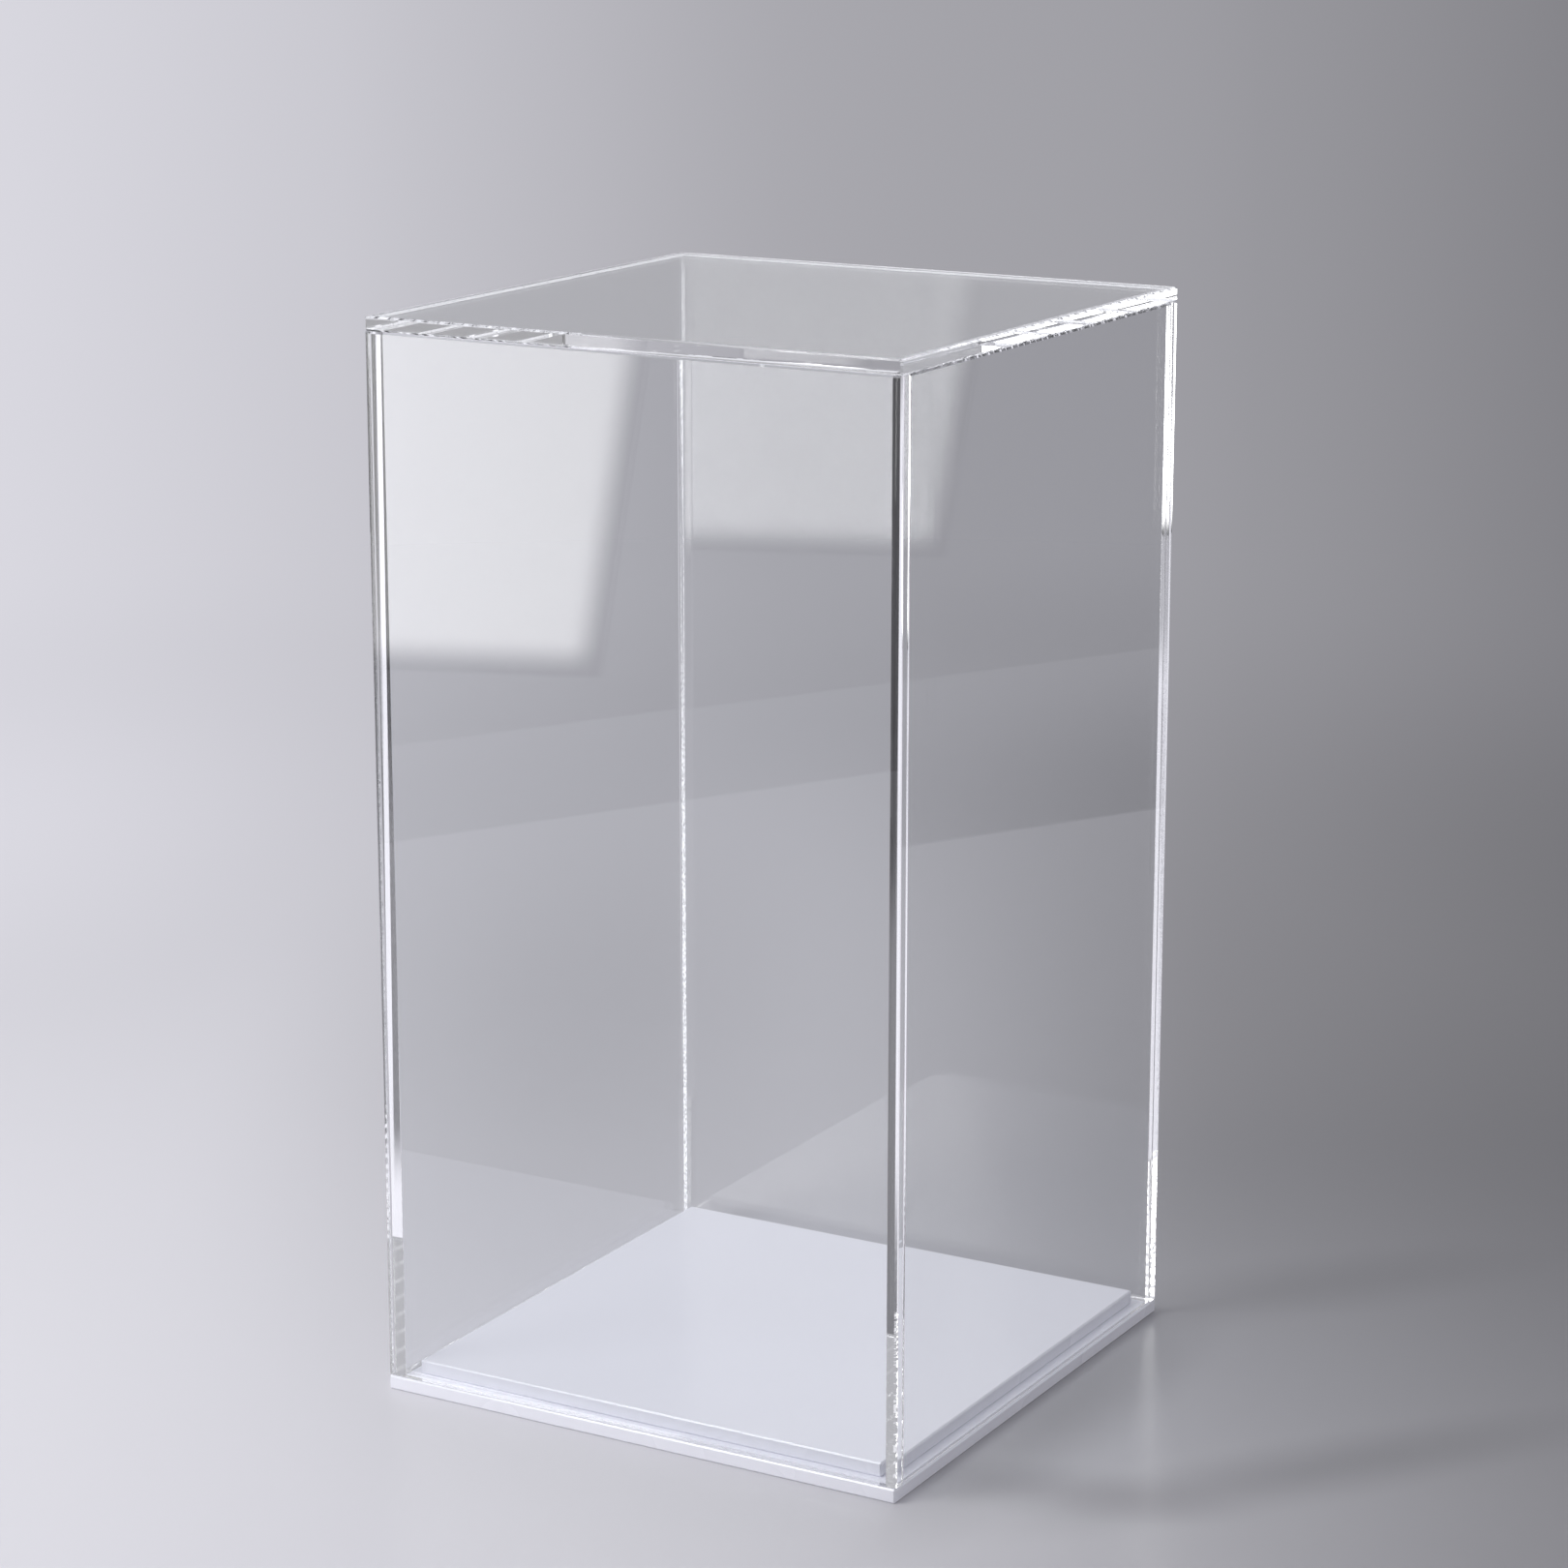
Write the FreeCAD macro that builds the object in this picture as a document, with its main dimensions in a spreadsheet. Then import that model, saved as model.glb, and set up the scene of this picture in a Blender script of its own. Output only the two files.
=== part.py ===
# Acrylic display case: a clear five-sided cover that lifts off a stepped white base.
# Millimetres, +Z up, the front faces -Y, and the origin is the middle of the base's underside.
import FreeCAD, Part
import Sketcher
import os

doc = FreeCAD.newDocument("display_case")
sheet = doc.addObject("Spreadsheet::Sheet", "sizes")

# Overall sizes are outside to outside, with the cover seated on its base.
driving_sizes = {
    "case_width": "160",
    "case_depth": "160",
    "case_height": "300",
    "wall_thickness": "4",
    "top_thickness": "4",
    "base_thickness": "4",
    "plinth_thickness": "4",
    "plinth_clearance": "3",
    "seat_gap": "0.1",
    "cement_line": "0.1",
    "edge_ease": "0.5",
    "base_edge_ease": "0.4",
}
for row, (alias, size) in enumerate(driving_sizes.items(), start=1):
    sheet.set(f"A{row}", alias)
    sheet.set(f"B{row}", size)
    sheet.setAlias(f"B{row}", alias)
doc.recompute()

# Sizes and levels that follow from the driving ones, as expressions on the sheet.
half_width = "sizes.case_width / 2"
half_depth = "sizes.case_depth / 2"
cover_floor = "sizes.base_thickness + sizes.seat_gap"
top_underside = "sizes.case_height - sizes.top_thickness"
wall_top = f"{top_underside} - sizes.cement_line"
wall_height = f"{wall_top} - ({cover_floor})"
side_wall_length = "sizes.case_depth - 2 * (sizes.wall_thickness + sizes.cement_line)"
plinth_inset = "sizes.wall_thickness + sizes.plinth_clearance"
plinth_width = f"sizes.case_width - 2 * ({plinth_inset})"
plinth_depth = f"sizes.case_depth - 2 * ({plinth_inset})"
seam_width = "sizes.wall_thickness - sizes.edge_ease"


def place(item, x="0", y="0", z="0"):
    """Bind an object's position to expressions on the sheet."""
    item.setExpression("Placement.Base.x", x)
    item.setExpression("Placement.Base.y", y)
    item.setExpression("Placement.Base.z", z)


def outline(body, plane_role, first_size, second_size, standing):
    """Sketch a rectangle on the body's own plane: centred on the origin, or standing on its first axis."""
    sketch = body.newObject("Sketcher::SketchObject", f"{body.Name}_outline")
    plane = next(item for item in body.Origin.OriginFeatures if item.Role == plane_role)
    sketch.AttachmentSupport = (plane, [""])
    sketch.MapMode = "FlatFace"
    corners = [FreeCAD.Vector(*corner, 0) for corner in ((0, 0), (1, 0), (1, 1), (0, 1))]
    for start, end in zip(corners, corners[1:] + corners[:1]):
        sketch.addGeometry(Part.LineSegment(start, end))
    low, right, high, left = range(4)
    start_point, end_point = 1, 2
    sketch_origin = (-1, 1)
    for line, next_line in ((low, right), (right, high), (high, left), (left, low)):
        sketch.addConstraint(Sketcher.Constraint("Coincident", line, end_point, next_line, start_point))
    for line in (low, high):
        sketch.addConstraint(Sketcher.Constraint("Horizontal", line))
    for line in (right, left):
        sketch.addConstraint(Sketcher.Constraint("Vertical", line))
    middle_of = (low, end_point) if standing else (high, start_point)
    sketch.addConstraint(Sketcher.Constraint("Symmetric", low, start_point, *middle_of, *sketch_origin))
    sizes_on_lines = {("DistanceX", low): first_size, ("DistanceY", right): second_size}
    for (kind, line), size in sizes_on_lines.items():
        number = sketch.addConstraint(Sketcher.Constraint(kind, line, start_point, line, end_point, 1))
        sketch.setExpression(f"Constraints[{number}]", size)
    return sketch


def acrylic_sheet(label, plane_role, first_size, second_size, thickness, standing=False, reversed_pad=False):
    """Cut one sheet: its outline padded to its thickness from the body's own plane."""
    body = doc.addObject("PartDesign::Body", label)
    body.Label = label
    pad = body.newObject("PartDesign::Pad", f"{label}_sheet")
    pad.Profile = outline(body, plane_role, first_size, second_size, standing)
    pad.setExpression("Length", thickness)
    pad.Reversed = reversed_pad
    body.Tip = pad
    doc.recompute()
    return body


def ease_edges(body, ease, outward=None):
    """Break the sharp edges of a sheet: all of them, or those round its face that looks outward."""
    pad = body.Tip
    chamfer = body.newObject("PartDesign::Chamfer", f"{body.Label}_eased")
    if outward is None:
        edges = [f"Edge{number}" for number, edge in enumerate(pad.Shape.Edges, start=1)]
        chamfer.Base = (pad, edges)
    else:
        faces = dict(enumerate(pad.Shape.Faces, start=1))
        outside = max(faces, key=lambda number: faces[number].normalAt(0, 0).dot(outward))
        chamfer.Base = (pad, [f"Face{outside}"])
    chamfer.setExpression("Size", ease)
    body.Tip = chamfer


def base_plate():
    """White sheet under everything, flush with the outside of the cover."""
    body = acrylic_sheet("base_plate", "XY_Plane", "sizes.case_width", "sizes.case_depth", "sizes.base_thickness")
    ease_edges(body, "sizes.base_edge_ease")
    place(body)
    return body


def plinth_plate():
    """White sheet bonded on the base: the display floor, and the step that the cover drops over."""
    body = acrylic_sheet("plinth_plate", "XY_Plane", plinth_width, plinth_depth, "sizes.plinth_thickness")
    ease_edges(body, "sizes.base_edge_ease")
    place(body, z="sizes.base_thickness")
    return body


def full_wall(label, side):
    """Front (side -1) or back (side 1) wall: full width, its ends showing at the corners of the case."""
    body = acrylic_sheet(
        label, "XZ_Plane", "sizes.case_width", wall_height, "sizes.wall_thickness",
        standing=True, reversed_pad=side > 0,
    )
    ease_edges(body, "sizes.edge_ease", FreeCAD.Vector(0, side, 0))
    place(body, y=f"{side} * ({half_depth} - sizes.wall_thickness)", z=cover_floor)
    return body


def side_wall(label, side):
    """Left (side -1) or right (side 1) wall: butted between the front and back walls."""
    body = acrylic_sheet(
        label, "YZ_Plane", side_wall_length, wall_height, "sizes.wall_thickness",
        standing=True, reversed_pad=side < 0,
    )
    ease_edges(body, "sizes.edge_ease", FreeCAD.Vector(side, 0, 0))
    place(body, x=f"{side} * ({half_width} - sizes.wall_thickness)", z=cover_floor)
    return body


def top_panel():
    """Clear sheet that lies over the top edges of all four walls."""
    body = acrylic_sheet("top_panel", "XY_Plane", "sizes.case_width", "sizes.case_depth", "sizes.top_thickness")
    ease_edges(body, "sizes.edge_ease")
    place(body, z=top_underside)
    return body


def cement_strip(name, length, width, height, x, y, z):
    """One line of cured cement, placed by its middle in plan and by its foot."""
    strip = doc.addObject("Part::Box", name)
    strip.setExpression("Length", length)
    strip.setExpression("Width", width)
    strip.setExpression("Height", height)
    place(strip, x=f"{x} - ({length}) / 2", y=f"{y} - ({width}) / 2", z=z)
    return strip


def seam_group(label, strips):
    """Cement lines of one kind, as one node."""
    group = doc.addObject("Part::Compound", label)
    group.Label = label
    group.Links = strips
    return group


def corner_seams():
    """The four upright cement lines, between a full wall's inside and a side wall's end."""
    across = f"({half_width} - sizes.wall_thickness + ({seam_width}) / 2)"
    deep = f"({half_depth} - sizes.wall_thickness - sizes.cement_line / 2)"
    strips = [
        cement_strip(
            f"corner_seam_{number}", seam_width, "sizes.cement_line", wall_height,
            f"{side} * {across}", f"{end} * {deep}", cover_floor,
        )
        for number, (side, end) in enumerate(((-1, -1), (1, -1), (1, 1), (-1, 1)), start=1)
    ]
    return seam_group("corner_seams", strips)


def top_seams():
    """The four level cement lines, between the walls' top edges and the underside of the top panel."""
    full_length = "sizes.case_width - 2 * sizes.edge_ease"
    across = f"({half_width} - sizes.wall_thickness + ({seam_width}) / 2)"
    deep = f"({half_depth} - sizes.wall_thickness + ({seam_width}) / 2)"
    strips = []
    for name, side in (("first", -1), ("second", 1)):
        strips.append(cement_strip(
            f"{name}_full_seam", full_length, seam_width, "sizes.cement_line", "0", f"{side} * {deep}", wall_top,
        ))
        strips.append(cement_strip(
            f"{name}_side_seam", seam_width, side_wall_length, "sizes.cement_line", f"{side} * {across}", "0", wall_top,
        ))
    return seam_group("top_seams", strips)


nodes = [
    base_plate(),
    plinth_plate(),
    full_wall("front_wall", -1),
    full_wall("back_wall", 1),
    side_wall("left_wall", -1),
    side_wall("right_wall", 1),
    top_panel(),
    corner_seams(),
    top_seams(),
]
doc.recompute()

for item in doc.Objects:
    if "Invalid" in item.State or "Error" in item.State:
        raise RuntimeError(f"{item.Name} did not compute: {item.State}")
for node in nodes:
    if node.Shape.isNull() or not node.Shape.isValid():
        raise RuntimeError(f"{node.Label} has no valid shape")

os.makedirs("parts", exist_ok=True)
for node in nodes:
    node.Shape.exportStep(f"parts/{node.Label}.step")
    box = node.Shape.BoundBox
    print(
        f"{node.Label}: {len(node.Shape.Solids)} solid(s), {node.Shape.Volume:.1f} mm3,"
        f" x {box.XMin:.2f}..{box.XMax:.2f}, y {box.YMin:.2f}..{box.YMax:.2f}, z {box.ZMin:.2f}..{box.ZMax:.2f}"
    )
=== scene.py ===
# %% [markdown]
# # A clear acrylic display case
# The real case is two loose parts. A tall cover of five clear sheets, cemented edge to edge and open below,
# drops over a low base of two white sheets, the upper one a little smaller so that it centres the cover.
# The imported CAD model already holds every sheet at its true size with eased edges, so this lesson models
# only the cement in the joints. The rest of the look is light, because a clear sheet shows its
# surroundings.

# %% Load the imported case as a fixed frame
import math
import random
import bmesh
import bpy
from mathutils import Matrix, Vector, noise


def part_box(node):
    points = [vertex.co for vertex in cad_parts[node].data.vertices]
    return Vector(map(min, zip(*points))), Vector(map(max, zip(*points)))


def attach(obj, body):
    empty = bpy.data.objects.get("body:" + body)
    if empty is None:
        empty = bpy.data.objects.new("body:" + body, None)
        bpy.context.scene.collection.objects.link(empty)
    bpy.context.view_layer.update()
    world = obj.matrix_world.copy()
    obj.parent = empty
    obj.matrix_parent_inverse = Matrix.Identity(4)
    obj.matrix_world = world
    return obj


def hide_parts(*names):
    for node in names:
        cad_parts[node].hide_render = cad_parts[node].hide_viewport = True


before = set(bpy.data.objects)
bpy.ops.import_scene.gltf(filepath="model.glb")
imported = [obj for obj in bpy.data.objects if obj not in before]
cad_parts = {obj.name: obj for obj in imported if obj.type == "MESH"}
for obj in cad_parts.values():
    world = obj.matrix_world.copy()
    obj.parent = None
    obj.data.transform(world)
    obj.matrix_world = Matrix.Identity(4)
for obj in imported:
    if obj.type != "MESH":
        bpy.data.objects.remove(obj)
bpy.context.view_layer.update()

cover_sheets = ("front_wall", "back_wall", "left_wall", "right_wall", "top_panel")
base_sheets = ("base_plate", "plinth_plate")

# %% [markdown]
# ## Colour and light paths
# A ray that enters a sheet at its edge is trapped by total reflection and can bounce thirty times before it
# leaves at the far end. That is what makes the edges of real acrylic glow. Blender stops mirror paths after
# four bounces, which turns those edges black, so the limits go up. Light that falls through the cover on
# the base is handled in the acrylic's own shader further down, which is far less grainy than caustic paths.

# %% Set colour and bounce limits
scene = bpy.context.scene
scene.view_settings.view_transform = "Standard"
inner_bounces = 80
scene.cycles.max_bounces = inner_bounces
scene.cycles.glossy_bounces = inner_bounces
scene.cycles.transmission_bounces = inner_bounces
scene.cycles.transparent_max_bounces = inner_bounces
scene.cycles.caustics_reflective = False
scene.cycles.caustics_refractive = False
print("light paths follow up to", inner_bounces, "bounces")

# %% [markdown]
# ## Camera
# The camera could be placed by eye. Here its place comes from the corners of the case: about 30 degrees
# round to the right of the front wall, 14 degrees down, through a long lens that keeps the upright edges
# nearly parallel. Two level directions, to the camera's right and ahead of it, are kept to lay out the
# studio.

# %% Place the camera
view_turn = math.radians(29.84)
view_dip = math.radians(14.01)
camera_place = Vector((0.5652, -0.9838, 0.4494))
camera_lens = 97.23
farthest_seen = 100
view_right = Vector((math.cos(view_turn), math.sin(view_turn), 0))
view_ahead = Vector((-math.sin(view_turn), math.cos(view_turn), 0))
camera_back = -camera_place.dot(view_ahead)

camera_data = bpy.data.cameras.new("case_camera")
camera_data.lens = camera_lens
camera_data.clip_end = farthest_seen
camera = bpy.data.objects.new("case_camera", camera_data)
quarter_turn = math.pi / 2
camera.matrix_world = (
    Matrix.Translation(camera_place)
    @ Matrix.Rotation(view_turn, 4, "Z")
    @ Matrix.Rotation(quarter_turn - view_dip, 4, "X")
)
scene.collection.objects.link(camera)
scene.camera = camera
print("camera stands", round(camera_place.length, 3), "m from the middle of the base")


# %% [markdown]
# ## Helpers for shader trees
# Every finish below is a tree of shader nodes. Clicking such a tree together is quick, but a script is
# easier to read when a node is one call: make it, set its options, and fill or link its inputs. More
# helpers wrap the nodes used most: a sum or product, a soft step from one value to another, and a blend of
# two colours.

# %% Node helpers
def add(tree, kind, inputs=None, **settings):
    """Make a node, set its options, and fill or link its inputs."""
    made = tree.nodes.new(kind)
    for option, value in settings.items():
        setattr(made, option, value)
    for key, value in (inputs or {}).items():
        if isinstance(value, bpy.types.NodeSocket):
            tree.links.new(value, made.inputs[key])
        else:
            made.inputs[key].default_value = value
    return made


def maths(tree, operation, *values):
    """The result of one Math node."""
    return add(tree, "ShaderNodeMath", dict(enumerate(values)), operation=operation).outputs[0]


def soft_step(tree, value, low, high, start=0.0, end=1.0):
    """Go smoothly from start to end while a value goes from low to high."""
    inputs = {"Value": value, "From Min": low, "From Max": high, "To Min": start, "To Max": end}
    return add(tree, "ShaderNodeMapRange", inputs, interpolation_type="SMOOTHSTEP").outputs[0]


def blend_colours(tree, share, first, second):
    """Go from the first colour to the second while a share goes from zero to one."""
    first_colour, second_colour, blended = 6, 7, 2
    inputs = {"Factor": share, first_colour: first, second_colour: second}
    return add(tree, "ShaderNodeMix", inputs, data_type="RGBA").outputs[blended]


def empty_material(name):
    """A material with an empty node tree and its output node."""
    material = bpy.data.materials.new(name)
    material.use_nodes = True
    material.node_tree.nodes.clear()
    output = add(material.node_tree, "ShaderNodeOutputMaterial")
    return material, material.node_tree, output


print("node helpers ready")


# %% [markdown]
# ## Floor paper
# The case stands on a wide sheet of studio paper. Its tone is painted light: a ramp, pale on the side of
# the light and grey on the other. One plane with one colour would look flat, and a painted backdrop would
# not catch the shadow. So near the case the plane is lit paper that takes the shadow, and far away it fades
# into plain glowing tone. The tone follows the fixed directions from above. The near paper is also painted
# darker behind the case, away from the light. The light falls straight through the clear sheets here, but
# real edges and joints hold some of it back, so a few long painted shades on the paper deepen the shadow,
# and two broad ones paint the paper darker on the right and lighter on the left further back.

# %% Read a floor point in the studio's directions
nearest_depth = 0.35


def stage_point(side, ahead, height):
    """A point given by how far it is to the camera's right, ahead of the case and above the floor."""
    return view_right * side + view_ahead * ahead + Vector((0, 0, height))


def across_view(tree, place):
    """How far a floor point is to the side and ahead, and its side as a share of its depth."""
    dot = {"operation": "DOT_PRODUCT"}
    side = add(tree, "ShaderNodeVectorMath", {0: place, 1: view_right}, **dot).outputs["Value"]
    ahead = add(tree, "ShaderNodeVectorMath", {0: place, 1: view_ahead}, **dot).outputs["Value"]
    depth = maths(tree, "MAXIMUM", maths(tree, "ADD", ahead, camera_back), nearest_depth)
    return side, ahead, maths(tree, "DIVIDE", side, depth)


print("floor tones spread from", round(camera_back, 3), "m before the case")


# %% A ramp of paper tones from left to right
# Lit paper takes some blue from the air, so the plain tone has that blue in its own tint.
paper_tint = Vector((1.01, 1.0, 1.045))
glow_tint = Vector((1.01, 1.0, 1.085))
frame_edge_share = 0.2


def tone_ramp(tree, share, tones, tint):
    """A soft ramp of pale lilac greys across the picture: painted light, pale towards the softbox and darker
    away from it.
    """
    ends = {"Value": share, "From Min": -frame_edge_share, "From Max": frame_edge_share}
    along = add(tree, "ShaderNodeMapRange", ends).outputs[0]
    ramp = add(tree, "ShaderNodeValToRGB", {"Fac": along})
    ramp.color_ramp.interpolation = "B_SPLINE"
    keys = ramp.color_ramp.elements
    keys.remove(keys[-1])
    for index, (where, tone) in enumerate(tones):
        key = keys[0] if index == 0 else keys.new(where)
        key.position = where
        key.color = (*(tint * tone), 1)
    return ramp.outputs["Color"]


print("paper tint", [round(part, 3) for part in paper_tint])


# %% Paper lit near the case, plain tone far away
# Painted light: these tones ramp from pale on the softbox side to grey away from it.
near_tones = ((0, 0.72), (0.2, 0.69), (0.35, 0.65), (0.5, 0.6), (0.65, 0.51), (0.8, 0.4), (1, 0.25))
far_tones = ((0, 0.72), (0.24, 0.575), (0.38, 0.475), (0.5, 0.39), (0.66, 0.353), (0.78, 0.33), (1, 0.2))
# Painted shade: the near paper is darker behind the case on the side away from the light.
shade_begins, shade_full = -0.15, 0.2
shade_left, shade_right = 0.0, 0.11
shade_depth = 0.42
lit_reach, glow_reach = 0.25, 1.25
paper_roughness, paper_sheen = 0.25, 0.25
# Painted shadows by the case, then two broad painted tones further back: a shade on the right and a pool of
# light on the left.
beside_base = {"middle": (0.073, -0.053), "turn": 60.2, "reach": (0.12, 0.029), "depth": 0.3}
by_front_corner = {"middle": (0.07, -0.099), "turn": -17.0, "reach": (0.065, 0.022), "depth": 0.2}
front_streak = {"middle": (0.14, -0.087), "turn": 23.4, "reach": (0.12, 0.024), "depth": 0.24}
right_streak = {"middle": (0.155, 0.05), "turn": 20.0, "reach": (0.1, 0.03), "depth": 0.15}
behind_case = {"middle": (-0.07, 0.3), "turn": 0.0, "reach": (0.14, 0.45), "depth": 0.24}
painted_shade_far_right = {"middle": (0.36, 0.68), "turn": 0.0, "reach": (0.2, 0.4), "depth": 0.26}
painted_light_far_left = {"middle": (-0.36, 0.68), "turn": 0.0, "reach": (0.25, 0.4), "depth": -0.26}
painted_shades_by_case = (beside_base, by_front_corner, front_streak, right_streak, behind_case)
painted_shade_pools = (*painted_shades_by_case, painted_shade_far_right, painted_light_far_left)


def painted_shade_pool(tree, place, middle, turn, reach, depth):
    """How much light is left under one long painted shade on the paper; a depth below zero paints light there
    instead.
    """
    laid = {"Vector": place, "Location": stage_point(*middle, 0), "Scale": (*reach, 1)}
    laid["Rotation"] = (0, 0, view_turn + math.radians(turn))
    local = add(tree, "ShaderNodeMapping", laid, vector_type="TEXTURE").outputs[0]
    out = add(tree, "ShaderNodeVectorMath", {0: local}, operation="LENGTH").outputs["Value"]
    return soft_step(tree, out, 0.0, 1.0, 1 - depth, 1.0)


def paper_with_painted_shade(tree, place, ahead, share):
    """The near paper's colour with painted shade: darker behind the case on the side away from the light, and
    under each painted shade.
    """
    behind = soft_step(tree, ahead, shade_begins, shade_full)
    away_from_light = soft_step(tree, share, shade_left, shade_right, 0.0, shade_depth)
    kept = maths(tree, "SUBTRACT", 1.0, maths(tree, "MULTIPLY", behind, away_from_light))
    for shade in painted_shade_pools:
        kept = maths(tree, "MULTIPLY", kept, painted_shade_pool(tree, place, **shade))
    tone = tone_ramp(tree, share, near_tones, paper_tint)
    return add(tree, "ShaderNodeVectorMath", {0: tone, "Scale": kept}, operation="SCALE").outputs["Vector"]


def paper_shader(tree, place, ahead, share):
    """Satin paper near the case that turns into plain glowing tone with distance."""
    satin = {"Roughness": paper_roughness, "Specular IOR Level": paper_sheen}
    satin["Base Color"] = paper_with_painted_shade(tree, place, ahead, share)
    paper = add(tree, "ShaderNodeBsdfPrincipled", satin)
    glow = add(tree, "ShaderNodeEmission", {"Color": tone_ramp(tree, share, far_tones, glow_tint)})
    away = add(tree, "ShaderNodeVectorMath", {0: place}, operation="LENGTH").outputs["Value"]
    far = soft_step(tree, away, lit_reach, glow_reach)
    return add(tree, "ShaderNodeMixShader", {0: far, 1: paper.outputs[0], 2: glow.outputs[0]})


print(len(painted_shade_pools), "soft shades on the paper,", len(painted_shades_by_case), "of them by the case")


# %% [markdown]
# ### What the sheets mirror and carry
# A clear wall mirrors the studio beside the camera: the paper up to its cut edges, then the dim room. That
# boundary shows as a dark band across the panes. A second strip of geometry could stand for the room, but
# it would also hide the background. A test on the ray itself is simpler: the floor paints that reflection,
# and only rays that have met a mirror see the painted paper end, gap and room. Rays that met many mirrors
# were carried along inside a sheet and leave at its far edge, so they get a third painted tone of their
# own, pale towards the light and dark away from it.

# %% The painted reflection: the mirrored paper and the dim room beyond its edges
paper_left_edge, paper_right_edge = -0.65, 0.595
mirror_left, mirror_right = -0.3, 0.3
mirror_pale, mirror_grey = 0.52, 0.3
gap_tone, room_left, room_right = 0.05, 0.42, 0.24
room_begins, room_full = 0.66, 0.9


def painted_reflection_level(tree, side):
    """Painted reflection: the brightness the floor shows to mirrored rays, paper, a dark gap at its edges,
    then the room.
    """
    half_paper = (paper_right_edge - paper_left_edge) / 2
    off_middle = maths(tree, "ABSOLUTE", maths(tree, "SUBTRACT", side, paper_left_edge + half_paper))
    beyond = maths(tree, "GREATER_THAN", off_middle, half_paper)
    paper = soft_step(tree, side, mirror_left, mirror_right, mirror_pale, mirror_grey)
    room_tone = soft_step(tree, side, mirror_left, mirror_right, room_left, room_right)
    room = soft_step(tree, off_middle, room_begins, room_full, gap_tone, room_tone)
    inside = maths(tree, "MULTIPLY", paper, maths(tree, "SUBTRACT", 1.0, beyond))
    return maths(tree, "ADD", inside, maths(tree, "MULTIPLY", room, beyond))


print("mirrored paper is", round(paper_right_edge - paper_left_edge, 3), "m wide")


# %% What the sheets carry along inside
# Painted light for rays carried along inside a sheet.
guided_bounces = 6
guided_pale, guided_grey = 0.95, 0.2
guided_left, guided_right = 0.02, 0.09
dark_begins, dark_full = 0.42, 0.6
dark_share = 0.25
gap_begins, gap_full = -0.6, -0.75
gap_share = 0.5


def painted_guided_light_level(tree, side):
    """Painted light that the floor shows at the far end of a sheet: pale towards the light, dark away from
    it.
    """
    level = soft_step(tree, side, guided_left, guided_right, guided_pale, guided_grey)
    level = maths(tree, "MULTIPLY", level, soft_step(tree, side, dark_begins, dark_full, 1.0, dark_share))
    return maths(tree, "MULTIPLY", level, soft_step(tree, side, gap_full, gap_begins, gap_share, 1.0))


def floor_finish():
    """Studio paper with painted light and shade, and painted reflection tones for mirrored and for guided
    rays.
    """
    material, tree, output = empty_material("paper_with_painted_light")
    place = add(tree, "ShaderNodeNewGeometry").outputs["Position"]
    side, ahead, share = across_view(tree, place)
    seen = paper_shader(tree, place, ahead, share)
    bounces = add(tree, "ShaderNodeLightPath").outputs["Glossy Depth"]
    guided = maths(tree, "GREATER_THAN", bounces, guided_bounces)
    levels = {"Factor": guided, "A": painted_reflection_level(tree, side), "B": painted_guided_light_level(tree, side)}
    level = add(tree, "ShaderNodeMix", levels).outputs[0]
    mirrored = add(tree, "ShaderNodeEmission", {"Color": (*glow_tint, 1), "Strength": level})
    met_mirror = maths(tree, "MINIMUM", bounces, 1.0)
    either = add(tree, "ShaderNodeMixShader", {0: met_mirror, 1: seen.outputs[0], 2: mirrored.outputs[0]})
    tree.links.new(either.outputs[0], output.inputs["Surface"])
    return material


floor_width = 40
bpy.ops.mesh.primitive_plane_add(size=floor_width)
floor = bpy.context.object
floor.name = "floor"
floor.data.materials.append(floor_finish())
print("floor paper laid,", floor_width, "m wide")

# %% [markdown]
# ## Air and softbox
# Two lights make the picture. The air is a plain pale dome, brighter overhead, and dimmer behind the camera
# as a studio is. The key is a tall softbox on the left, a little above the floor and brightest before its
# lamp. An area lamp could serve, but lamps have hard rims and the panes mirror them, so the softbox is a
# real panel of glowing fabric that fades at its rim.

# %% Air
air_tint = (1.0, 1.0, 1.06, 1)
level_air, overhead_air = 0.43, 0.9
overhead_begins = 0.25
dim_behind_camera = 0.55

world = bpy.data.worlds.new("studio_air")
world.use_nodes = True
sky = world.node_tree
look = add(sky, "ShaderNodeTexCoord").outputs["Generated"]
upward = add(sky, "ShaderNodeSeparateXYZ", {0: look}).outputs["Z"]
onward = add(sky, "ShaderNodeVectorMath", {0: look, 1: view_ahead}, operation="DOT_PRODUCT").outputs["Value"]
dome = soft_step(sky, upward, overhead_begins, 1.0, level_air, overhead_air)
turned = soft_step(sky, onward, -1.0, 0.0, dim_behind_camera, 1.0)
sky.nodes["Background"].inputs["Color"].default_value = air_tint
sky.links.new(maths(sky, "MULTIPLY", dome, turned), sky.nodes["Background"].inputs["Strength"])
scene.world = world
print("air glows from", level_air, "at the horizon to", overhead_air, "overhead")


# %% Softbox
softbox_size = (0.46, 1.15)
softbox_glow, lamp_glow = 4.1, 12.0
lamp_place, lamp_reach = (0.23, 0.86), 0.32
softbox_rim = 0.017


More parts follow.
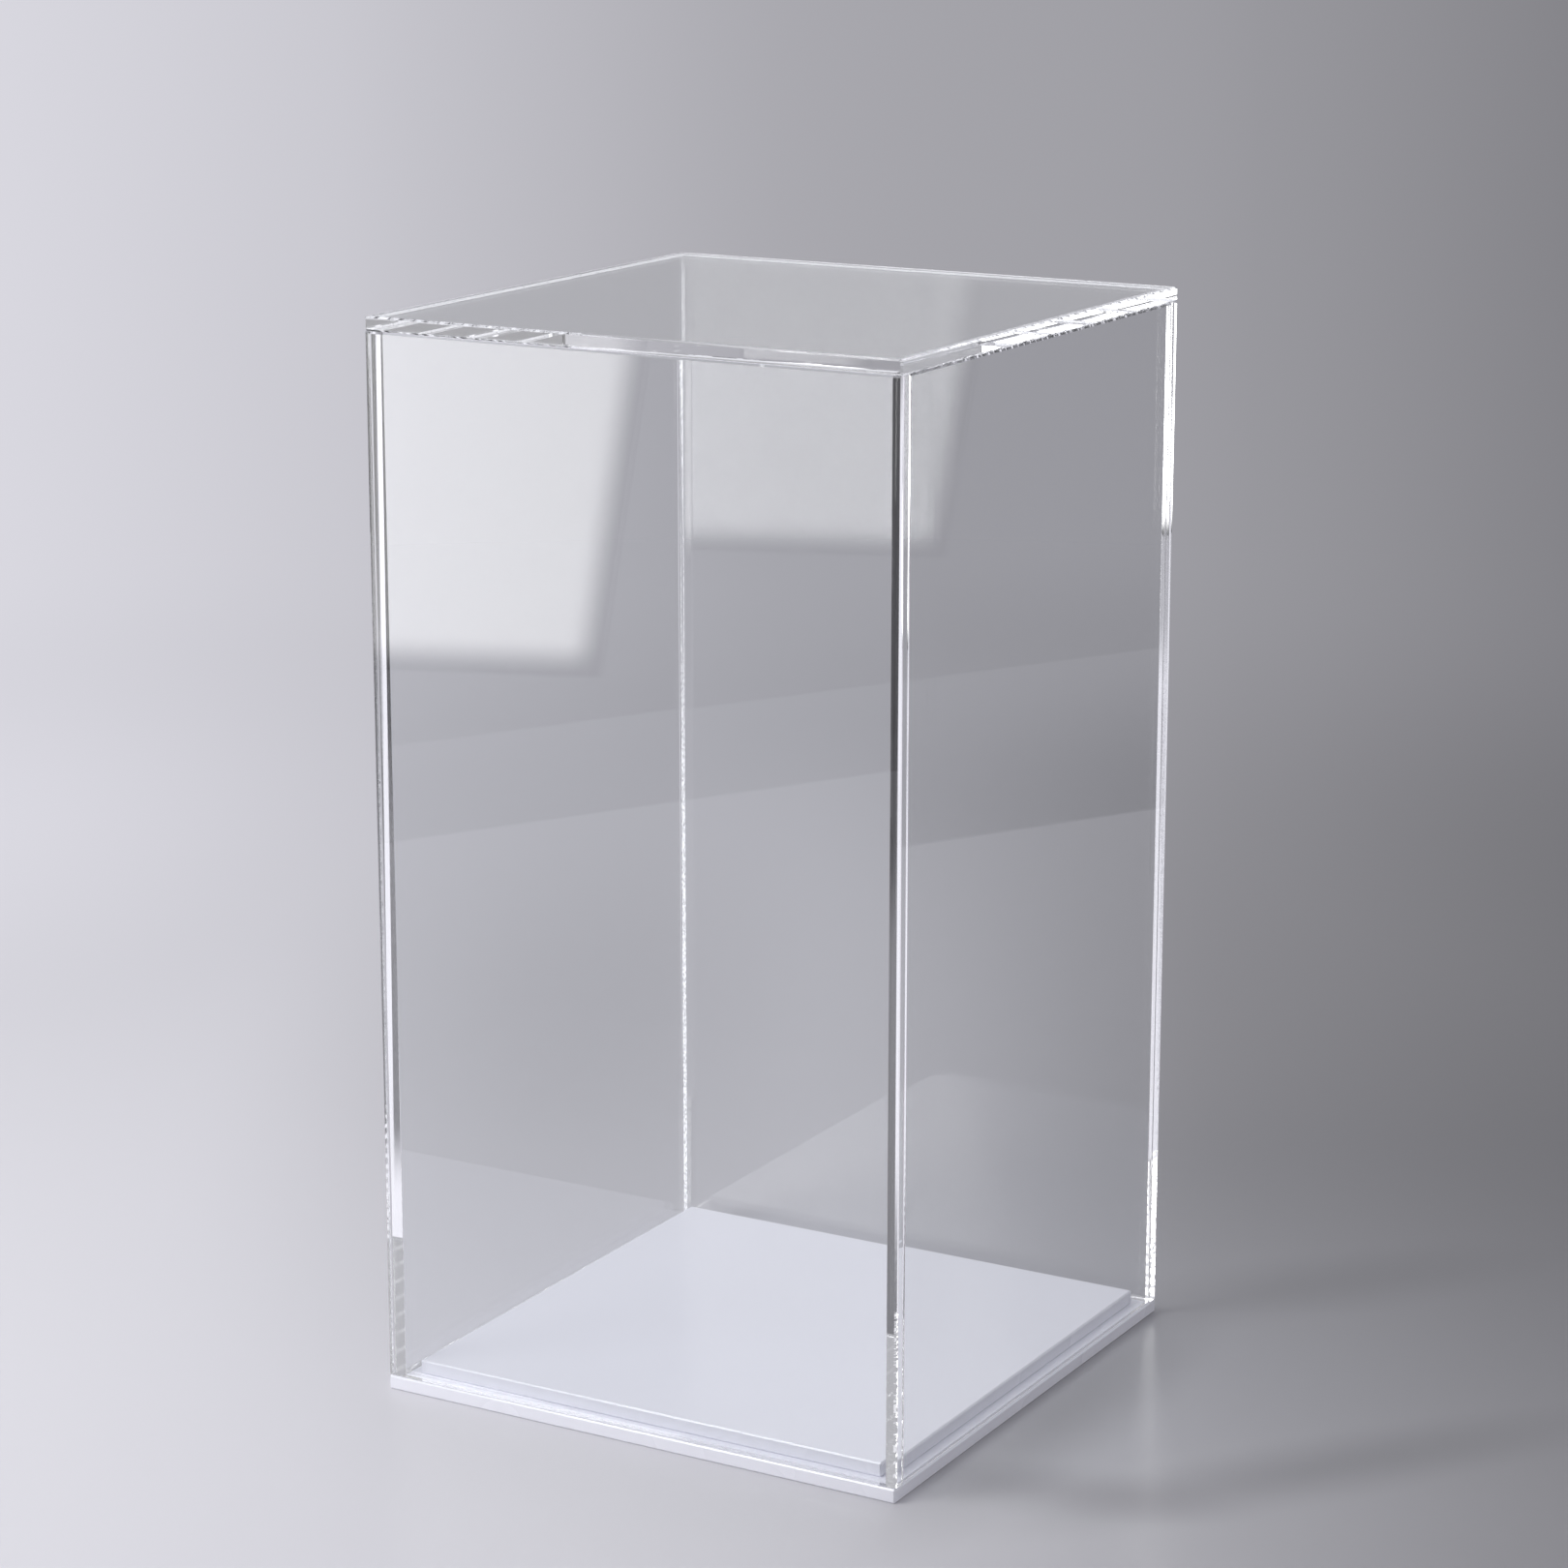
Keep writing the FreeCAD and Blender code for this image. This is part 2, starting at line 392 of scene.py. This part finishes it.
def softbox_fabric():
    """White fabric, brightest in front of its lamp, that fades out over a short rim along all four sides."""
    material, tree, output = empty_material("softbox_fabric")
    spot = add(tree, "ShaderNodeTexCoord").outputs["UV"]
    across = add(tree, "ShaderNodeSeparateXYZ", {0: spot})
    from_lamp = add(tree, "ShaderNodeVectorMath", {0: spot, 1: (*lamp_place, 0)}, operation="DISTANCE")
    lamp = soft_step(tree, from_lamp.outputs["Value"], 0.0, lamp_reach, lamp_glow, 0.0)
    level = maths(tree, "ADD", lamp, softbox_glow)
    for axis, length in zip("XY", softbox_size):
        from_far_side = maths(tree, "SUBTRACT", length, across.outputs[axis])
        inward = maths(tree, "MINIMUM", across.outputs[axis], from_far_side)
        level = maths(tree, "MULTIPLY", level, soft_step(tree, inward, 0.0, softbox_rim))
    glow = add(tree, "ShaderNodeEmission", {"Strength": level})
    tree.links.new(glow.outputs[0], output.inputs["Surface"])
    return material


def softbox(name, near_foot, along, lean):
    """A standing panel: its lower edge starts at near_foot and runs level, and its sides lean."""
    wide, tall = softbox_size
    up = (Vector((0, 0, 1)) - along * math.tan(lean)).normalized()
    far_foot = near_foot + along * wide
    corners = [near_foot, far_foot, far_foot + up * tall, near_foot + up * tall]
    mesh = bpy.data.meshes.new(name)
    mesh.from_pydata(corners, [], [(0, 1, 2, 3)])
    for loop, place in zip(mesh.uv_layers.new().data, ((0, 0), (wide, 0), (wide, tall), (0, tall))):
        loop.uv = place
    mesh.materials.append(softbox_fabric())
    panel = bpy.data.objects.new(name, mesh)
    scene.collection.objects.link(panel)
    panel.visible_camera = False
    return panel


softbox_foot = stage_point(-0.662, -0.388, 0.056)
softbox_along = stage_point(-0.64, 0.77, 0).normalized()
softbox_lean = math.radians(9)
softbox("side_softbox", softbox_foot, softbox_along, softbox_lean)
print("softbox stands", round(softbox_foot.length, 2), "m from the case")

# %% [markdown]
# ## Where the sheets meet
# The side walls butt against the inside of the full walls, and the top panel lies on all four. Typing these
# places in would break with the first change of size, so they are read off the boxes of the loaded sheets.

# %% The joints, read off the frame
rim_ease = 0.0005
wall_box = {name: [Vector(corner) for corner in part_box(name)] for name in cover_sheets}
side_inner, side_outer = wall_box["right_wall"][0].x, wall_box["right_wall"][1].x - rim_ease
side_end, back_inner = wall_box["right_wall"][1].y, wall_box["back_wall"][0].y
back_outer = wall_box["back_wall"][1].y - rim_ease
wall_foot, wall_top = wall_box["front_wall"][0].z, wall_box["front_wall"][1].z
panel_under = wall_box["top_panel"][0].z
joint_gap = back_inner - side_end
print("joints are", round(joint_gap * 1000, 3), "mm wide")

# %% [markdown]
# ## Clear acrylic
# Cast acrylic is glass-like but bends light a little less, so its index is 1.49. Its faces come polished
# from the mould and carry only faint wipe marks. Its edges were sawn and then polished, and low down, where
# the polisher seldom reaches, they keep rows of saw marks. All of this is in one shader, because an edge is
# known by its normal: on a wall that is thin along one axis, the faces point along that axis and the edges
# do not.

# %% Marks on faces and edges
wipe_stretch = (60.0, 60.0, 9.0)
wipe_detail = 4.0
wipe_thin, wipe_thick = 0.6, 0.75
wipe_roughness = 0.05
saw_pitch = 0.0028
saw_depth = 0.00003
saw_waver, saw_detail = 3.0, 2.0
saw_foot, saw_fade = 0.055, 0.085
wave_radians = 20
wave_turns = wave_radians / (2 * math.pi)


def wipe_marks(tree, place):
    """Sparse streaks of slightly dulled polish, longer upright than across."""
    stretched = add(tree, "ShaderNodeVectorMath", {0: place, 1: wipe_stretch}, operation="MULTIPLY")
    clouds = {"Vector": stretched.outputs[0], "Scale": 1.0, "Detail": wipe_detail}
    cloud = add(tree, "ShaderNodeTexNoise", clouds).outputs[0]
    return soft_step(tree, cloud, wipe_thin, wipe_thick, 0.0, wipe_roughness)


def saw_ridges(tree, place, edge):
    """A bumped normal: ridges across the cut edges that fade out above the foot of the walls."""
    waves = {"Vector": place, "Distortion": saw_waver, "Detail": saw_detail}
    waves["Scale"] = 1 / (saw_pitch * wave_turns)
    ridges = add(tree, "ShaderNodeTexWave", waves, bands_direction="Z").outputs["Fac"]
    upward = add(tree, "ShaderNodeSeparateXYZ", {0: place}).outputs["Z"]
    left = maths(tree, "MULTIPLY", edge, soft_step(tree, upward, saw_foot, saw_fade, 1.0, 0.0))
    bump = {"Height": ridges, "Strength": left, "Distance": saw_depth}
    return add(tree, "ShaderNodeBump", bump).outputs["Normal"]


print("saw ridges stand", saw_pitch * 1000, "mm apart, up to", saw_fade * 1000, "mm high on the walls")


# %% [markdown]
# Cement bends light just as the sheet does, so light crosses a cemented joint as if the sheet went on. Two
# glass surfaces with a gap between them would mirror it instead. Filling the gap with a third glass body is
# unreliable, because touching surfaces confuse the ray tracer, so the sheets simply let light straight
# through at the joints.

# %% Find the cemented places
def cemented_places(tree, place):
    """One where a point lies on an upright joint or on a top joint, and zero elsewhere."""
    away = add(tree, "ShaderNodeVectorMath", {0: place}, operation="ABSOLUTE").outputs[0]
    across, deep, high = add(tree, "ShaderNodeSeparateXYZ", {0: away}).outputs
    wall_middle, wall_reach = (side_inner + side_outer) / 2, (side_outer - side_inner) / 2
    in_upright = maths(tree, "COMPARE", deep, (side_end + back_inner) / 2, joint_gap)
    over_side = maths(tree, "COMPARE", across, wall_middle, wall_reach)
    in_top = maths(tree, "COMPARE", high, (wall_top + panel_under) / 2, joint_gap)
    over_wall = maths(tree, "COMPARE", maths(tree, "MAXIMUM", across, deep), wall_middle, wall_reach)
    corners = maths(tree, "MULTIPLY", in_upright, over_side)
    return maths(tree, "MAXIMUM", corners, maths(tree, "MULTIPLY", in_top, over_wall))


print("light crosses joints", round((side_outer - side_inner) * 1000, 2), "mm wide")


# %% The clear sheet's shader
acrylic_bend = 1.49
face_normal_least = 0.9
passed_light = (0.945, 0.95, 0.955, 1)
edge_passed_light = (0.7, 0.7, 0.71, 1)
clear_tint = (0.965, 0.97, 0.975, 1)


def clear_acrylic(name, thin_axis):
    """Clear sheet that is thin along one axis; lamps and bounced light fall straight through it."""
    material, tree, output = empty_material(name)
    coordinates = add(tree, "ShaderNodeTexCoord")
    place = coordinates.outputs["Object"]
    facing = add(tree, "ShaderNodeSeparateXYZ", {0: coordinates.outputs["Normal"]}).outputs[thin_axis]
    edge = maths(tree, "LESS_THAN", maths(tree, "ABSOLUTE", facing), face_normal_least)
    face = maths(tree, "SUBTRACT", 1.0, edge)
    dulled = maths(tree, "MULTIPLY", wipe_marks(tree, place), face)
    glassy = {"Roughness": dulled, "IOR": acrylic_bend, "Transmission Weight": 1.0}
    glassy["Base Color"] = clear_tint
    glassy["Normal"] = saw_ridges(tree, place, edge)
    sheet = add(tree, "ShaderNodeBsdfPrincipled", glassy)
    through = blend_colours(tree, edge, passed_light, edge_passed_light)
    passed = add(tree, "ShaderNodeBsdfTransparent", {"Color": through})
    straight = add(tree, "ShaderNodeBsdfTransparent")
    joined = {0: cemented_places(tree, place), 1: sheet.outputs[0], 2: straight.outputs[0]}
    joined_sheet = add(tree, "ShaderNodeMixShader", joined)
    ray = add(tree, "ShaderNodeLightPath").outputs
    bounced = {0: ray["Is Diffuse Ray"], 1: joined_sheet.outputs[0], 2: passed.outputs[0]}
    soft = add(tree, "ShaderNodeMixShader", bounced)
    lit = {0: ray["Is Shadow Ray"], 1: soft.outputs[0], 2: passed.outputs[0]}
    both = add(tree, "ShaderNodeMixShader", lit)
    tree.links.new(both.outputs[0], output.inputs["Surface"])
    return material


def finish_sheet(name, material):
    """Give one CAD sheet its finish."""
    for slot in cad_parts[name].material_slots:
        slot.material = material


thin_axes = {"front_wall": "Y", "back_wall": "Y", "left_wall": "X", "right_wall": "X", "top_panel": "Z"}
acrylic_by_axis = {axis: clear_acrylic(f"clear_acrylic_{axis.lower()}", axis) for axis in "XYZ"}
for name in cover_sheets:
    finish_sheet(name, acrylic_by_axis[thin_axes[name]])
print("clear acrylic on", ", ".join(cover_sheets))

# %% [markdown]
# ## White acrylic
# The base is opaque white sheet with a cool cast. Plain white would look like paint, so the shader adds
# what white sheet really shows: a polish that varies a little from place to place, a faint orange-peel
# ripple on the faces, and sawn sides with fine lines along the cut.

# %% The white sheet's shader
white_tones = ((0.872, 0.875, 0.935, 1), (0.892, 0.895, 0.955, 1))
cloud_scale, ripple_scale = 14.0, 160.0
cloud_detail, line_detail = 3.0, 2.0
cloud_thin, cloud_thick = 0.3, 0.7
polish_best, polish_worst = 0.1, 0.2
sawn_roughness = 0.12
ripple_height = 0.000004
side_normal_most = 0.5
line_squeeze = (40.0, 40.0, 2500.0)
line_height = 0.000012


def white_acrylic():
    """Opaque white sheet: clouded polish on its faces, fine cut lines on its sides."""
    material, tree, output = empty_material("white_acrylic")
    coordinates = add(tree, "ShaderNodeTexCoord")
    place = coordinates.outputs["Object"]
    upward = add(tree, "ShaderNodeSeparateXYZ", {0: coordinates.outputs["Normal"]}).outputs["Z"]
    side = maths(tree, "LESS_THAN", maths(tree, "ABSOLUTE", upward), side_normal_most)
    clouds = {"Vector": place, "Scale": cloud_scale, "Detail": cloud_detail}
    cloud = add(tree, "ShaderNodeTexNoise", clouds).outputs[0]
    white = blend_colours(tree, cloud, *white_tones)
    squeezed = add(tree, "ShaderNodeVectorMath", {0: place, 1: line_squeeze}, operation="MULTIPLY").outputs[0]
    fine_lines = {"Vector": squeezed, "Scale": 1.0, "Detail": line_detail}
    lines = add(tree, "ShaderNodeTexNoise", fine_lines).outputs[0]
    ripple = add(tree, "ShaderNodeTexNoise", {"Vector": place, "Scale": ripple_scale}).outputs[0]
    cut = maths(tree, "MULTIPLY", maths(tree, "MULTIPLY", lines, side), line_height)
    relief = maths(tree, "MULTIPLY_ADD", ripple, ripple_height, cut)
    polish = soft_step(tree, cloud, cloud_thin, cloud_thick, polish_best, polish_worst)
    rough = maths(tree, "MULTIPLY_ADD", side, sawn_roughness, polish)
    bump = add(tree, "ShaderNodeBump", {"Height": relief, "Distance": 1.0}).outputs["Normal"]
    opal = {"Base Color": white, "Roughness": rough, "IOR": acrylic_bend, "Normal": bump}
    sheet = add(tree, "ShaderNodeBsdfPrincipled", opal)
    tree.links.new(sheet.outputs[0], output.inputs["Surface"])
    return material


opal_finish = white_acrylic()
for name in base_sheets:
    finish_sheet(name, opal_finish)
print("white acrylic on", ", ".join(base_sheets))

# %% [markdown]
# ## Cement in the joints
# The sheets are joined with a solvent that creeps into the gap and softens both sides. What stays is a film
# a tenth of a millimetre thick, uneven along its rim, with trapped bubbles, and milky where it cured damp.
# The CAD holds plain strips for it. A flat filled curve is the simplest way to draw such a film: one loop
# for the wavy rim, a small ring for each bubble as a hole, and a little extrusion for the thickness.

# %% Where a film lies in its joint
film_inset = 0.00002
film_bite = 0.00003
film_thickness = joint_gap - film_inset + film_bite
film_middle = (back_inner - film_inset + side_end - film_bite) / 2
top_film_middle = (panel_under - film_inset + wall_top - film_bite) / 2
print("cement film is", round(film_thickness * 1000, 3), "mm thick")

# %% Draw one film: a wavy rim and rings for its bubbles
rim_step = 0.003
rim_creep = 0.00045
creep_per_metre = 140.0
bubble_spacing = 0.009
bubble_small, bubble_large = 0.00015, 0.00045
ring_points = 12


def film_rim(length, width, phase):
    """A long loop whose two sides wander inwards where the cement did not reach."""
    sides = {-1: [], 1: []}
    steps = round(length / rim_step)
    for step in range(steps + 1):
        along = length * (step / steps - 0.5)
        for side, points in sides.items():
            wander = noise.noise(Vector((along * creep_per_metre, phase, side)))
            creep = rim_creep * (1 + wander) / 2
            points.append((along, side * (width / 2 - creep)))
    return sides[-1] + sides[1][::-1]


def bubble_rings(length, width, dice):
    """Small circles scattered along a film, each in its own stretch so that none overlap."""
    rings = []
    stretches = int(length / bubble_spacing)
    reach = bubble_spacing / 2 - bubble_large
    for stretch in range(stretches):
        radius = dice.uniform(bubble_small, bubble_large)
        along = (stretch + 0.5) * bubble_spacing - length / 2 + dice.uniform(-reach, reach)
        across = dice.uniform(-1, 1) * (width / 2 - rim_creep - 2 * radius)
        turns = [2 * math.pi * point / ring_points for point in range(ring_points)]
        rings.append([(along + radius * math.cos(turn), across + radius * math.sin(turn)) for turn in turns])
    return rings


print("bubbles are", round(2 * bubble_small * 1000, 2), "to", round(2 * bubble_large * 1000, 2), "mm across")


# %% Turn the loops into a closed film mesh
def film_mesh(loops, laid):
    """Fill the rim, leave the rings open, give the film its thickness and put it in its joint."""
    curve = bpy.data.curves.new("film_loops", "CURVE")
    curve.dimensions = "2D"
    curve.fill_mode = "BOTH"
    curve.extrude = film_thickness / 2
    for loop in loops:
        spline = curve.splines.new("POLY")
        spline.points.add(len(loop) - 1)
        for point, (along, across) in zip(spline.points, loop):
            point.co = (along, across, 0, 1)
        spline.use_cyclic_u = True
    drawn = bpy.data.objects.new("film_loops", curve)
    scene.collection.objects.link(drawn)
    mesh = bpy.data.meshes.new_from_object(drawn.evaluated_get(bpy.context.evaluated_depsgraph_get()))
    bpy.data.objects.remove(drawn)
    bpy.data.curves.remove(curve)
    mesh.transform(laid)
    return mesh


def placing(length_axis, width_axis, middle):
    """A matrix that lays a film's length and width along two axes, around a middle point."""
    axes = (Vector(length_axis), Vector(width_axis))
    turn = Matrix((*axes, axes[0].cross(axes[1]))).transposed()
    return Matrix.Translation(middle) @ turn.to_4x4()


# %% [markdown]
# Each joint cured in its own way: three corners are almost clear, the back left one and the back and left
# rims of the top are milky, and the corners are clearest in their upper part. A colour per piece could not
# say that, so each point of the film stores how milky it is. The shader breaks that number up into fine
# speckle, and well above one the speckle closes up to plain white. Light that crosses the film straight
# meets little cement and sees it clearer than light that crosses at a slant, and at a very flat slant the
# gloss of the sheet hides it. Light that was mirrored inside a sheet shows the cement fainter, because a
# real sheet blurs it on the way: without that, sharp white stripes fill the cut edges of the top.

# %% Join the films of one kind into a piece
milk_by_height = ((0.473, 0.5), (0.642, 0.04), (0.919, 0.04), (0.953, 1.0))
film_merge = 1e-7


def milk_share(height):
    """Share of its milkiness that the cement has at a height, marked as shares of the walls' height."""
    level = height / wall_top
    for (low, low_share), (high, high_share) in zip(milk_by_height, milk_by_height[1:]):
        if level < high:
            part = max((level - low) / (high - low), 0.0)
            return low_share + (high_share - low_share) * part
    return high_share


def cement_piece(name, films, node):
    """One piece of all films of a kind, each point knowing how milky it is."""
    body = bmesh.new()
    milk_layer = body.verts.layers.float.new("milkiness")
    for mesh, milk in films:
        first = len(body.verts)
        body.from_mesh(mesh)
        body.verts.ensure_lookup_table()
        for vertex in body.verts[first:]:
            vertex[milk_layer] = milk * milk_share(vertex.co.z)
        bpy.data.meshes.remove(mesh)
    bmesh.ops.remove_doubles(body, verts=body.verts, dist=film_merge)
    bmesh.ops.recalc_face_normals(body, faces=body.faces)
    joined = bpy.data.meshes.new(name)
    body.to_mesh(joined)
    body.free()
    piece = bpy.data.objects.new(name, joined)
    scene.collection.objects.link(piece)
    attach(piece, "cover")
    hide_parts(node)
    print(name, "has", len(films), "films and", len(joined.vertices), "points")
    return piece


# %% Corner and top films
bubble_seed = 7
bubble_dice = random.Random(bubble_seed)
upright, crossways, onwards = (0, 0, 1), (1, 0, 0), (0, 1, 0)
corner_milk = {(-1, -1): 0.08, (1, -1): 0.04, (1, 1): 0.04, (-1, 1): 1.7}
top_milk = {"front": 0.15, "back": 4.0, "left": 1.5, "right": 0.5}


def film_loops(length, width, phase):
    """Rim and bubbles of one film."""
    return [film_rim(length, width, phase), *bubble_rings(length, width, bubble_dice)]


side_width, side_middle = side_outer - side_inner, (side_outer + side_inner) / 2
corner_films = []
for phase, ((side, end), milk) in enumerate(corner_milk.items()):
    middle = Vector((side * side_middle, end * film_middle, (wall_foot + wall_top) / 2))
    loops = film_loops(wall_top - wall_foot, side_width, phase)
    corner_films.append((film_mesh(loops, placing(upright, crossways, middle)), milk))

back_width, back_middle = back_outer - back_inner, (back_outer + back_inner) / 2
top_films = []
for phase, (wall, milk) in enumerate(top_milk.items()):
    side = -1 if wall in ("front", "left") else 1
    if wall in ("front", "back"):
        loops = film_loops(2 * side_outer, back_width, phase)
        place = placing(crossways, onwards, Vector((0, side * back_middle, top_film_middle)))
    else:
        loops = film_loops(2 * side_end, side_width, phase)
        place = placing(onwards, crossways, Vector((side * side_middle, 0, top_film_middle)))
    top_films.append((film_mesh(loops, place), milk))

# %% Milky speckled finish
cement_white = (0.93, 0.93, 0.95, 1)
cement_roughness = 0.4
speckle_scale, speckle_detail = 900.0, 3.0
grain_thin, grain_thick = 0.35, 0.65
speckle_least, speckle_most = 0.55, 1.25
clear_facing, milky_facing, clear_share = 0.1, 0.22, 0.12
flat_begins, flat_full, flat_share = 0.6, 0.9, 0.3
guided_share = 0.3


def milky_cement():
    """Cured cement: white where it is milky, broken by fine speckle, and clear elsewhere."""
    material, tree, output = empty_material("milky_cement")
    milk = add(tree, "ShaderNodeAttribute", attribute_name="milkiness").outputs["Fac"]
    place = add(tree, "ShaderNodeTexCoord").outputs["Object"]
    grains = {"Vector": place, "Scale": speckle_scale, "Detail": speckle_detail}
    grain = add(tree, "ShaderNodeTexNoise", grains).outputs[0]
    speckle = soft_step(tree, grain, grain_thin, grain_thick, speckle_least, speckle_most)
    slant = add(tree, "ShaderNodeLayerWeight").outputs["Facing"]
    slanted = soft_step(tree, slant, clear_facing, milky_facing, clear_share, 1.0)
    thickened = maths(tree, "MULTIPLY", milk, slanted)
    flattened = soft_step(tree, slant, flat_begins, flat_full, 1.0, flat_share)
    bounces = add(tree, "ShaderNodeLightPath").outputs["Glossy Depth"]
    carried = soft_step(tree, bounces, 0.0, 1.0, 1.0, guided_share)
    shown = maths(tree, "MULTIPLY", maths(tree, "MULTIPLY", thickened, flattened), carried)
    product = {"operation": "MULTIPLY", "use_clamp": True}
    cover = add(tree, "ShaderNodeMath", {0: shown, 1: speckle}, **product).outputs[0]
    cured = {"Base Color": cement_white, "Roughness": cement_roughness, "Alpha": cover}
    film = add(tree, "ShaderNodeBsdfPrincipled", cured)
    tree.links.new(film.outputs[0], output.inputs["Surface"])
    return material


cement_finish = milky_cement()
corner_cement = cement_piece("corner_cement", corner_films, "corner_seams")
top_cement = cement_piece("top_cement", top_films, "top_seams")
for piece in (corner_cement, top_cement):
    piece.data.materials.append(cement_finish)

# %% [markdown]
# ### Light that the sheets gather
# Acrylic sheets gather light and carry it to their edges, where milky cement lights up whiter than the
# base. That light takes long winding paths that a renderer samples badly. Making the cement glow would be
# simple, but it would then shine in the dark too. So the studio has one more soft lamp, which only the
# cement receives.

# %% A lamp for the joints
gathered_light = 2.6
gathered_tilt = math.radians(45)
gathered_spread = math.radians(60)

lamp_data = bpy.data.lights.new("gathered_light", "SUN")
lamp_data.energy = gathered_light
lamp_data.angle = gathered_spread
edge_lamp = bpy.data.objects.new("gathered_light", lamp_data)
edge_lamp.rotation_euler.x = gathered_tilt
scene.collection.objects.link(edge_lamp)
lit_joints = bpy.data.collections.new("lit_joints")
lit_joints.objects.link(top_cement)
lit_joints.objects.link(corner_cement)
edge_lamp.light_linking.receiver_collection = lit_joints
print("the cement receives", gathered_light, "W/m2 more light")
